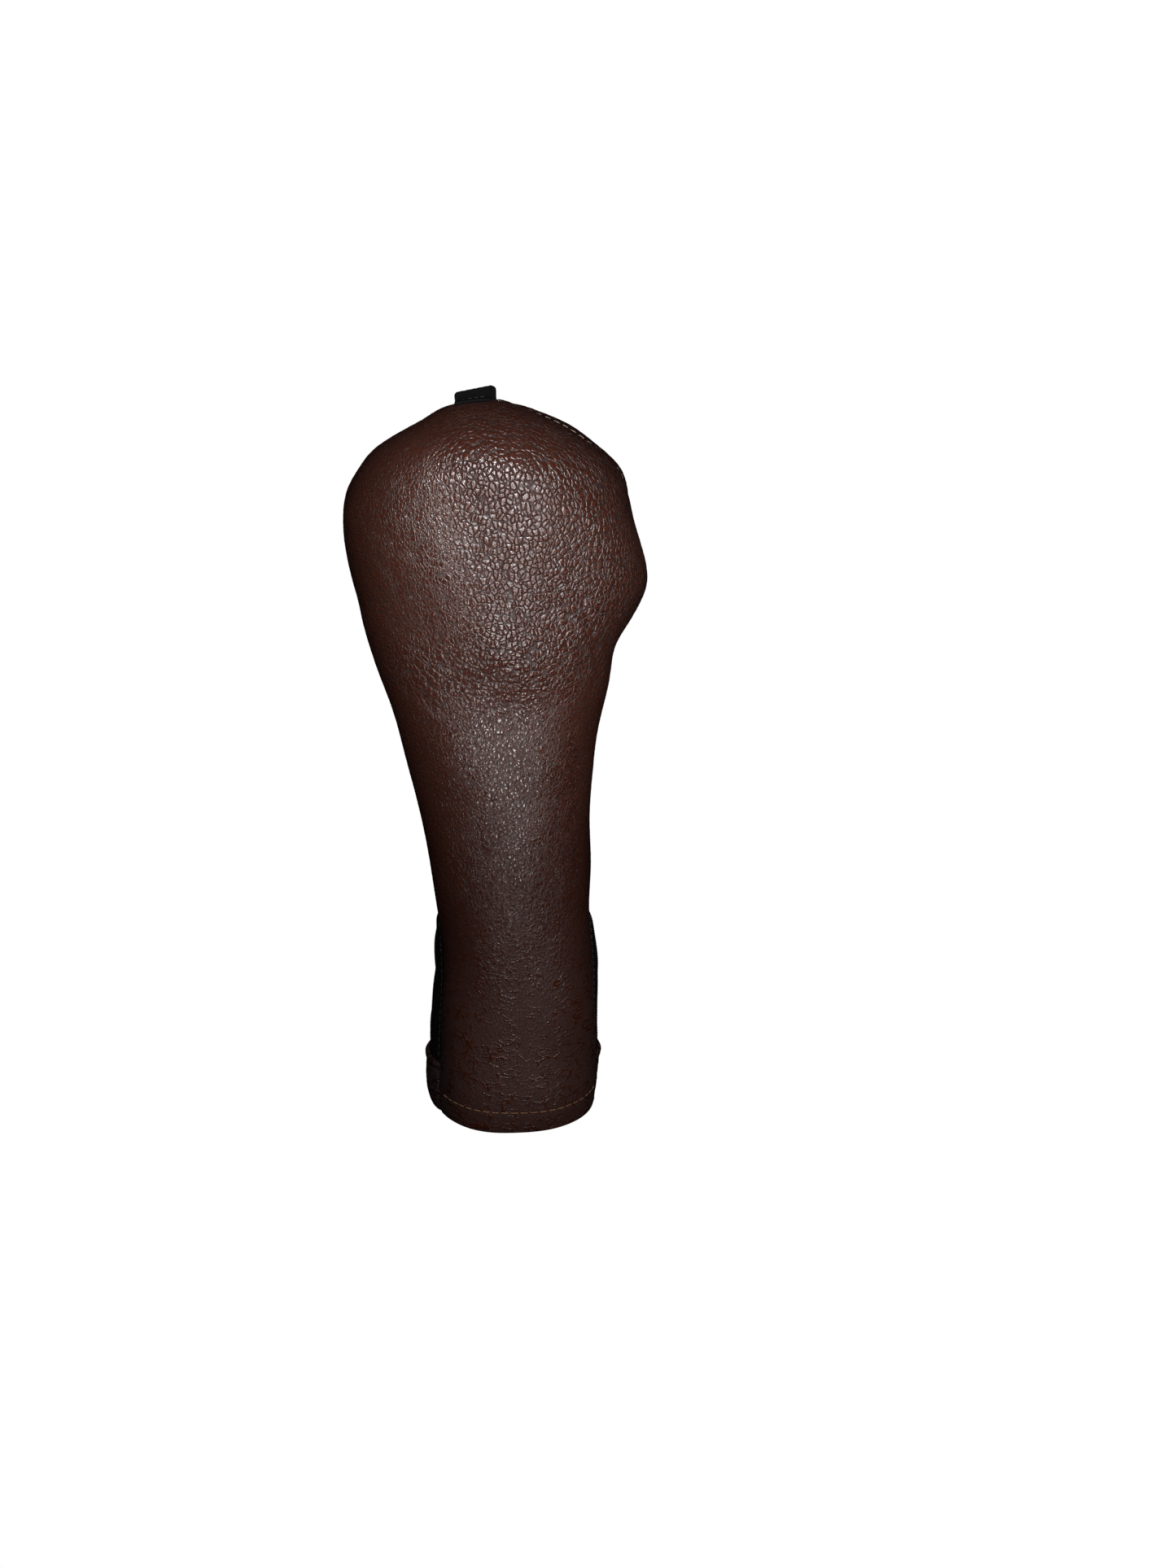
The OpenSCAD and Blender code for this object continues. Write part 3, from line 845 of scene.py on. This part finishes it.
def light_world():
    """A white backdrop for the camera, with a little ambient light that makes no gloss."""
    world = bpy.data.worlds.new("studio")
    bpy.context.scene.world = world
    g = empty_graph(world)
    path = g.add("ShaderNodeLightPath")
    ambient = g.times(path.outputs["Is Diffuse Ray"], 0.05)
    strength = g.blend(path.outputs["Is Camera Ray"], ambient, 1.0)
    backdrop = g.add("ShaderNodeBackground", {"Color": WHITE, "Strength": strength})
    g.add("ShaderNodeOutputWorld", {"Surface": backdrop.outputs[0]})
    bpy.context.scene.view_settings.view_transform = "Standard"


def lamp(name, place, aim, size, power, glossy=True, spread=180):
    """A round lamp; size in metres, power in watts, spread in degrees."""
    light = bpy.data.lights.new(name, "AREA")
    light.shape = "DISK"
    light.size = size
    light.energy = power
    light.spread = math.radians(spread)
    lamp_object = in_scene(name, light)
    lamp_object.location = place
    lamp_object.rotation_euler = (Vector(aim) - Vector(place)).to_track_quat("-Z", "Y").to_euler()
    lamp_object.visible_glossy = glossy
    lamp_object.visible_camera = False


place_camera()
lay_floor()
light_world()
lamp("front", (0.02, -0.45, 0.37), (0, 0, 0.27), 0.30, 1.10)
lamp("low", (0.03, -0.45, 0.04), (0.028, -0.045, 0.228), 0.16, 0.036, spread=24)
lamp("top", (-0.02, -0.42, 0.52), (-0.012, -0.052, 0.295), 0.12, 0.050, spread=26)
lamp("right", (0.20, -0.42, 0.36), (0, 0, 0.25), 0.30, 0.45)
lamp("back", (0.15, 0.80, 0.45), (0, 0, 0.20), 0.50, 6.0, glossy=False)
lamp("back_head", (-0.03, 0.47, 0.40), (0, 0.05, 0.262), 0.08, 0.030, spread=18)
lamp("back_tube", (0.03, 0.47, 0.16), (0, 0.04, 0.130), 0.08, 0.012, spread=14)
lamp("left_fill", (-1.1, 0.45, 0.55), (0, 0, 0.18), 0.6, 0.8, glossy=False)
lamp("right_fill", (1.1, 0.45, 0.55), (0, 0, 0.18), 0.6, 0.8, glossy=False)

# ---- leather panels

# Creases beside the hollow on the right and one at the left, as places across and up, depth and width.
CREASES = [
    ([(25, 270), (32, 251), (36, 232), (38, 212)], 0.55, 2.0),
    ([(44, 236), (36, 243), (27, 247), (16, 250), (8, 250)], 0.55, 1.1),
    ([(41, 226), (33, 234), (24, 240), (14, 243)], 0.45, 1.1),
    ([(46, 246), (38, 252), (27, 258), (18, 259)], 0.40, 1.0),
    ([(-44, 214), (-33, 205), (-24, 203)], 0.25, 2.4),
]


def creases(panel):
    """How far the creases sink the leather, with a raised lip on either side."""
    total = np.zeros(panel.edge.shape)
    flat = panel.rest * np.array([1, 0, 1])
    for route, depth, width in CREASES:
        line = np.array([(x, 0, z) for x, z in route], float)
        at = np.linspace(0, len(line) - 1, 60)
        dense = np.stack([np.interp(at, np.arange(len(line)), line[:, k]) for k in range(3)], -1)
        gap, place = distance_to(dense, flat)
        ends = np.sin(np.pi * np.clip(place / place.max(), 0, 1)) ** 0.7
        lips = 0.45 * np.exp(-((gap / width - 1.5) ** 2))
        total += ends * depth * (lips - np.exp(-((gap / width) ** 2)))
    return total


REAR_COARSENESS, CUFF_COARSENESS = 0.55, 0.45


def grain_fields(panel):
    """How coarse the pebbles are, and how far they have turned into level wrinkles: coarse on
    the front of the head, finer at its left and below it, and wrinkled down the tube."""
    x, z = panel.rest[..., 0], panel.rest[..., 2]
    wrinkle = 1 - smoothstep(40, 135, z)
    if not panel.front:
        return np.full(x.shape, REAR_COARSENESS), wrinkle
    left = 1 - smoothstep(-38, -8, x + 0.18 * (z - 280))
    coarse = 1 - 0.8 * left * smoothstep(215, 250, z)
    return coarse * (0.35 + 0.65 * smoothstep(195, 230, z)), wrinkle


def fields_of(panel):
    """What the relief and the leather's shader read, over and under the panel."""
    coarse, wrinkle = grain_fields(panel)
    none = np.zeros(panel.edge.shape)
    strength = smoothstep(0.2, 1.6, panel.edge) * smoothstep(0.3, 2.0, panel.foot)
    return {"rest": both(panel.rest), "out": both(panel.normal), "coarse": both(coarse),
            "wrinkle": both(wrinkle), "seam_edge": both(panel.edge), "seam_place": both(panel.place),
            "crown": both(smoothstep(296, 314, panel.height)), "relief": (strength, none)}


def stitch_groove(distance, setback, depth=0.38):
    """The furrow that a row of stitches pulls into the leather."""
    return -depth * np.exp(-(((distance - setback) / 0.55) ** 2))


# The hem's furrow is shallower; a panel's underside keeps every fourth point of its outside.
HEM_GROOVE, UNDERSIDE_STEP = 0.38 * 0.6, 4
FRONT = Panel(True, 0, CROWN_ROW, 396, 228)
REAR = Panel(False, GUSSET_TOP_ROW, CROWN_ROW, 288, 228)


def panel_relief(g):
    return g.plus(leather_height(g)[0], tucks(g))


def front_panel():
    sunk = creases(FRONT)
    outer = FRONT.layer(0, sunk + stitch_groove(FRONT.height, HEM_STITCH_Z, HEM_GROOVE), folded=True)
    piece = slab("front_panel_leather", outer, FRONT.layer(LEATHER, sunk), UNDERSIDE_STEP,
                 fields_of(FRONT))
    raise_relief(piece, panel_relief)
    place_piece(piece, "leather_front", "shell", "front_panel")
    return outer


def rear_panel():
    raised = stitch_groove(REAR.edge, TOPSTITCH_SETBACK)
    raised += stitch_groove(REAR.foot, TOPSTITCH_SETBACK) * smoothstep(1, 5, REAR.edge)
    outer = REAR.layer(0, raised, folded=True)
    piece = slab("rear_panel_leather", outer, REAR.layer(LEATHER), UNDERSIDE_STEP, fields_of(REAR))
    raise_relief(piece, panel_relief)
    place_piece(piece, "leather_rear", "shell", "rear_panel")
    return outer


front_skin = front_panel()
rear_skin = rear_panel()

# ---- foam and fleece inside

# How far the foam and the fleece stop short of a seam in grid lines, and how coarse each is.
FOAM_MARGIN, FOAM_STRIDE, FLEECE_MARGIN, FLEECE_STRIDE = 12, 3, 3, 2
FLEECE_FRONT_Z, FLEECE_REAR_Z = 19, 102


def cut(grid, rows, columns, stride):
    """Part of a grid, with every stride-th row and column."""
    return grid[rows][::stride, columns][:, ::stride]


def inner_fields(panel, rows, columns, stride):
    """What the fleece's relief reads: it rises inwards, on the inner side alone."""
    rest = cut(panel.rest, rows, columns, stride)
    inward = -cut(panel.normal, rows, columns, stride)
    relief = np.ones(rest.shape[:2])
    return {"rest": both(rest), "out": both(inward), "relief": (relief * 0, relief)}


def whole_strides(first, last, stride):
    """A slice that ends on the last whole stride before last."""
    return slice(first, first + (last - first - 1) // stride * stride + 1)


def padding(panel, name, node):
    """Foam under the head's leather, skived thin towards the seam and at its lower edge."""
    stride = FOAM_STRIDE
    first, last = np.searchsorted(panel.rows, (PADDING_ROW, CROWN_ROW - 1))
    rows = whole_strides(first, last, stride)
    columns = whole_strides(FOAM_MARGIN, panel.rest.shape[1] - FOAM_MARGIN, stride)
    inward = smoothstep(0, 1, cut(panel.edge, rows, columns, stride) / 9 - 0.4)
    foot = cut(panel.foot, rows, columns, stride)
    ends = smoothstep(0, 4, foot - foot[:1])
    thick = panel.foam_depth()[rows][::stride] * (0.25 + 0.75 * inward * (0.3 + 0.7 * ends))
    outer = cut(panel.layer(LEATHER + GAP), rows, columns, stride)
    normal = cut(panel.normal, rows, columns, stride)
    inner = outer - normal * thick[..., None]
    piece = slab(name, outer, inner, 1, {"rest": both(outer)})
    place_piece(piece, "foam", "shell", node)


def fleece_nap(g):
    tufts = g.noise(g.place("rest"), 0.4, 3.0, 0.6)
    return g.times(g.minus(tufts, 0.35), 1.9)


def lining(panel, name, node):
    """Fleece inside the foam, with its nap raised inwards."""
    stride = FLEECE_STRIDE
    first = np.searchsorted(panel.height[:, 0], FLEECE_FRONT_Z if panel.front else FLEECE_REAR_Z)
    rows = whole_strides(first, panel.rest.shape[0], stride)
    columns = whole_strides(FLEECE_MARGIN, panel.rest.shape[1] - FLEECE_MARGIN, stride)
    depth = panel.lining_depth()
    outer = cut(panel.layer(depth), rows, columns, stride)
    inner = cut(panel.layer(depth + FLEECE), rows, columns, stride)
    piece = slab(name, outer, inner, 1, inner_fields(panel, rows, columns, stride))
    raise_relief(piece, fleece_nap)
    place_piece(piece, "fleece", "shell", node)
    return piece


padding(FRONT, "front_foam", "front_padding")
padding(REAR, "rear_foam", "rear_padding")
front_fleece = lining(FRONT, "front_fleece", "front_lining")
rear_fleece = lining(REAR, "rear_fleece", "rear_lining")

# ---- hem, cuff and gusset


def strip_fields(rest, normal, relief):
    """What a narrow, wrinkled strip's relief and shader read."""
    full = np.ones(rest.shape[:2])
    return {"rest": both(rest), "out": both(normal), "coarse": both(full * CUFF_COARSENESS),
            "wrinkle": both(full), "relief": (relief, full * 0)}


def facing(surface, name, node, body, margin):
    """The hem leather turned up inside, which follows the skin and closes the fold at its foot."""
    top = int(np.searchsorted(surface.height[:, 0], FACING_Z))
    rows = slice(0, top + 1)
    columns = slice(margin, surface.rest.shape[1] - margin)
    foot = surface.foot[rows, columns]
    rounded = roll(foot, HEM_ROLL) + roll(surface.height[top:top + 1, columns] - foot, 0.9)
    depth = LEATHER + GAP
    outer = surface.layer(depth)[rows, columns]
    normal = surface.normal[rows, columns]
    inner = surface.layer(depth + LEATHER)[rows, columns] + normal * rounded[..., None]
    rest = surface.rest[rows, columns]
    piece = slab(name, outer, inner, 1, strip_fields(rest, normal, np.zeros(rest.shape[:2])))
    place_piece(piece, "leather_facing", body, node)


CUFF_TOPSTITCH = TOPSTITCH_SETBACK + 0.9
CUFF_BAND = Band(CUFF, 76, 260)
GUSSET_BAND = Band(GUSSET, 208, 240)


def cuff():
    """The leather cuff, with its upper edge folded over into a bead."""
    band = CUFF_BAND
    bead = 0.75 * np.exp(-(((band.head - 1.5) / 1.7) ** 2))
    groove = stitch_groove(band.head, CUFF_TOPSTITCH)
    groove += stitch_groove(band.height, HEM_STITCH_Z, HEM_GROOVE)
    folds = roll(band.foot, HEM_ROLL) + roll(band.head, HEM_ROLL)
    outer = band.layer(0, bead + groove - folds)
    inner = band.layer(LEATHER)
    relief = smoothstep(0.3, 2.0, band.foot) * smoothstep(0.3, 1.5, band.head)
    piece = slab("cuff_leather", outer, inner, 1, strip_fields(band.rest, band.normal, relief))
    raise_relief(piece, lambda g: leather_height(g)[0])
    place_piece(piece, "leather_rear", "rear_throat", "rear_cuff")
    return outer


def gusset():
    """Ribbed elastic, gathered into soft upright folds between its sewn edges."""
    band = GUSSET_BAND
    rib_pitch, gather_pitch, pucker_pitch = 1.3, 8.2, 4.6
    free = smoothstep(0, 14, band.foot) * smoothstep(0, 12, band.head) * smoothstep(2, 12, band.side)
    sway = 1.3 * np.sin(band.height / 11 + band.run / 31)
    gathers = 0.5 * free * np.sin(2 * math.pi * band.run / gather_pitch + sway)
    gathers += 0.22 * free * np.sin(2 * math.pi * band.run / pucker_pitch + 1.7 - sway)
    ribs = 0.13 * np.cos(2 * math.pi * band.height / rib_pitch)
    outer = band.layer(0, gathers + ribs)
    inner = band.layer(ELASTIC, gathers)
    fields = {"rest": both(band.rest), "weft": both(band.run), "warp": both(band.height)}
    piece = slab("gusset_elastic", outer, inner, 1, fields)
    place_piece(piece, "elastic", "rear_throat", "elastic_gusset")
    return outer


cuff_skin = cuff()
gusset_skin = gusset()
facing(FRONT, "hem_facing_leather", "hem_facing", "shell", margin=8)
facing(CUFF_BAND, "cuff_facing_leather", "cuff_facing", "rear_throat", margin=30)

# ---- stitching


def row_at(surface, z):
    """The grid row nearest a height."""
    return int(np.argmin(np.abs(surface.height[:, 0] - z)))


# How the rows are sewn: the pitch, each stitch's length and the thread's radius.
TAN_STITCH = {"pitch": 4.6, "length": 4.4, "radius": 0.21}
PALE_STITCH = {"pitch": 4.4, "length": 4.1, "radius": 0.24}
BLACK_STITCH = {"pitch": 3.6, "length": 2.8, "radius": 0.27}
TAB_STITCH = {"pitch": 3.0, "length": 2.4, "radius": 0.2, "lift": 0.12}
# Rows stop this many grid lines short of a panel's or the cuff's sides.
PANEL_INSIDE, CUFF_INSIDE = slice(9, -9), slice(24, -24)


def stitch_line(name, finish, body, node, skin_points, surface, at, sewing):
    """One row of stitches along part of a grid, which at picks out."""
    piece = stitches(name, [(skin_points[at], surface.normal[at])], **sewing)
    place_piece(piece, finish, body, node)


def hem_stitches():
    hem = row_at(FRONT, HEM_STITCH_Z), PANEL_INSIDE
    cuff_hem = row_at(CUFF_BAND, HEM_STITCH_Z), CUFF_INSIDE
    cuff_top = row_at(CUFF_BAND, CUFF[-1, 0] - CUFF_TOPSTITCH), CUFF_INSIDE
    rear_foot = STITCH_LINE, PANEL_INSIDE
    stitch_line("hem_front_thread", "thread_tan", "shell", "hem_stitch_front",
                front_skin, FRONT, hem, TAN_STITCH)
    stitch_line("hem_rear_thread", "thread_tan", "rear_throat", "hem_stitch_rear",
                cuff_skin, CUFF_BAND, cuff_hem, TAN_STITCH)
    stitch_line("cuff_top_thread", "thread_tan", "rear_throat", "cuff_top_stitch",
                cuff_skin, CUFF_BAND, cuff_top, TAN_STITCH)
    stitch_line("rear_panel_thread", "thread_tan", "shell", "rear_panel_stitch",
                rear_skin, REAR, rear_foot, TAN_STITCH)


def topstitches():
    """Pale stitches just behind the head seam, from the gusset up to the tab on either side."""
    for side, column, last in (("left", -1 - STITCH_LINE, -10), ("right", STITCH_LINE, -8)):
        stitch_line(f"topstitch_{side}_thread", "thread_pale", "shell", f"topstitch_{side}",
                    rear_skin, REAR, (slice(6, last), column), PALE_STITCH)


def gusset_stitches():
    for side, column in (("right", 9), ("left", -10)):
        stitch_line(f"gusset_edge_{side}_thread", "thread_black", "rear_throat",
                    f"gusset_edge_stitch_{side}", gusset_skin, GUSSET_BAND, (slice(8, -8), column),
                    BLACK_STITCH)


hem_stitches()
topstitches()
gusset_stitches()

# ---- pull tab

TAB_WIDTH, WEBBING = 16.6, 1.25
# The webbing's two halves lie this far out of line either way. Each half lies on the leather at
# these distances from the seam, dips to its foot in the seam, and climbs its leg to the fold.
TAB_SKEW = 1.2
TAB_LAP = (15.0, 8.6, 2.9)
LAP_CLEARANCE = 0.1
FOOT_Y, FOOT_RISE = 0.74, 0.55
LEG_Y, LEG_RISE, FOLD_RISE = 0.66, 1.9, 2.75
TAB_STITCH_RUNS = (10.0, 13.2)


def crown_height(x, y):
    """Height of the leather over a place near the crown, down in the seam's valley too."""
    grid = front_skin if y < 0 else rear_skin
    top = grid[-60:].reshape(-1, 3)
    gap = (top[:, 0] - x) ** 2 + (top[:, 1] - y) ** 2
    nearest = np.argsort(gap)[:6]
    weight = 1 / (gap[nearest] + 0.01)
    return (top[nearest, 2] * weight).sum() / weight.sum() + 0.1


def over_crown(x, y, rise):
    return np.array([x, y, crown_height(x, y) + rise])


def tab_grid():
    """The webbing's middle surface: from its lap on the front leather, over the fold, to the rear."""
    columns = []
    for across in np.linspace(-TAB_WIDTH / 2, TAB_WIDTH / 2, 57):
        base = TAB_CENTRE + TAB_ALONG * across
        half = []
        for back in (-1, 1):
            x = base[0] + TAB_SKEW * back
            laps = [over_crown(x, back * y, WEBBING / 2 + LAP_CLEARANCE) for y in TAB_LAP]
            foot = over_crown(x, back * FOOT_Y, FOOT_RISE)
            top = base + TAB_UP * LEG_RISE + np.array([TAB_SKEW * back, back * LEG_Y, 0])
            half.append(laps + [foot, (foot + top) / 2, top])
        fold = base + TAB_UP * FOLD_RISE
        route = np.array(half[0] + [fold] + half[1][::-1])
        smooth = spline(route, np.linspace(0, len(route) - 1, 300))
        run = along(smooth[None])[0]
        even = np.linspace(0, run[-1], 129)
        columns.append(np.stack([np.interp(even, run, smooth[:, k]) for k in range(3)], -1))
    return np.array(columns).transpose(1, 0, 2)


def tab():
    """The webbing, thinned at its selvedges and ends, and two rows of stitches across it."""
    middle = tab_grid()
    normal = normals_of(middle)
    run = along(middle.transpose(1, 0, 2)).T
    across = np.broadcast_to(np.linspace(0, TAB_WIDTH, middle.shape[1])[None], run.shape)
    edge = np.minimum(across, TAB_WIDTH - across)
    ends = np.minimum(run, run[-1:] - run)
    thin = (WEBBING / 2) * (1 - 0.75 * (1 - np.minimum(edge / 0.7, 1)) ** 2)
    thin = thin * (1 - 0.5 * (1 - np.minimum(ends / 0.8, 1)) ** 2)
    weave = 0.045 * np.sin(2 * math.pi * across / 1.35) * np.sin(2 * math.pi * run / 1.5)
    ribs = 0.05 * np.cos(2 * math.pi * across / 2.7)
    outer = middle + normal * (thin + weave + ribs)[..., None]
    inner = middle - normal * thin[..., None]
    fields = {"rest": both(middle), "weft": both(across), "warp": both(run)}
    piece = slab("tab_webbing", outer, inner, 1, fields)
    place_piece(piece, "webbing", "tab", "pull_tab")
    rows = [int(np.argmin(np.abs(run[:, 0] - place))) for place in TAB_STITCH_RUNS]
    lines = [(outer[row, 2:-2], normal[row, 2:-2]) for row in rows]
    place_piece(stitches("tab_thread", lines, **TAB_STITCH), "thread_grey", "tab", "tab_stitch")


tab()
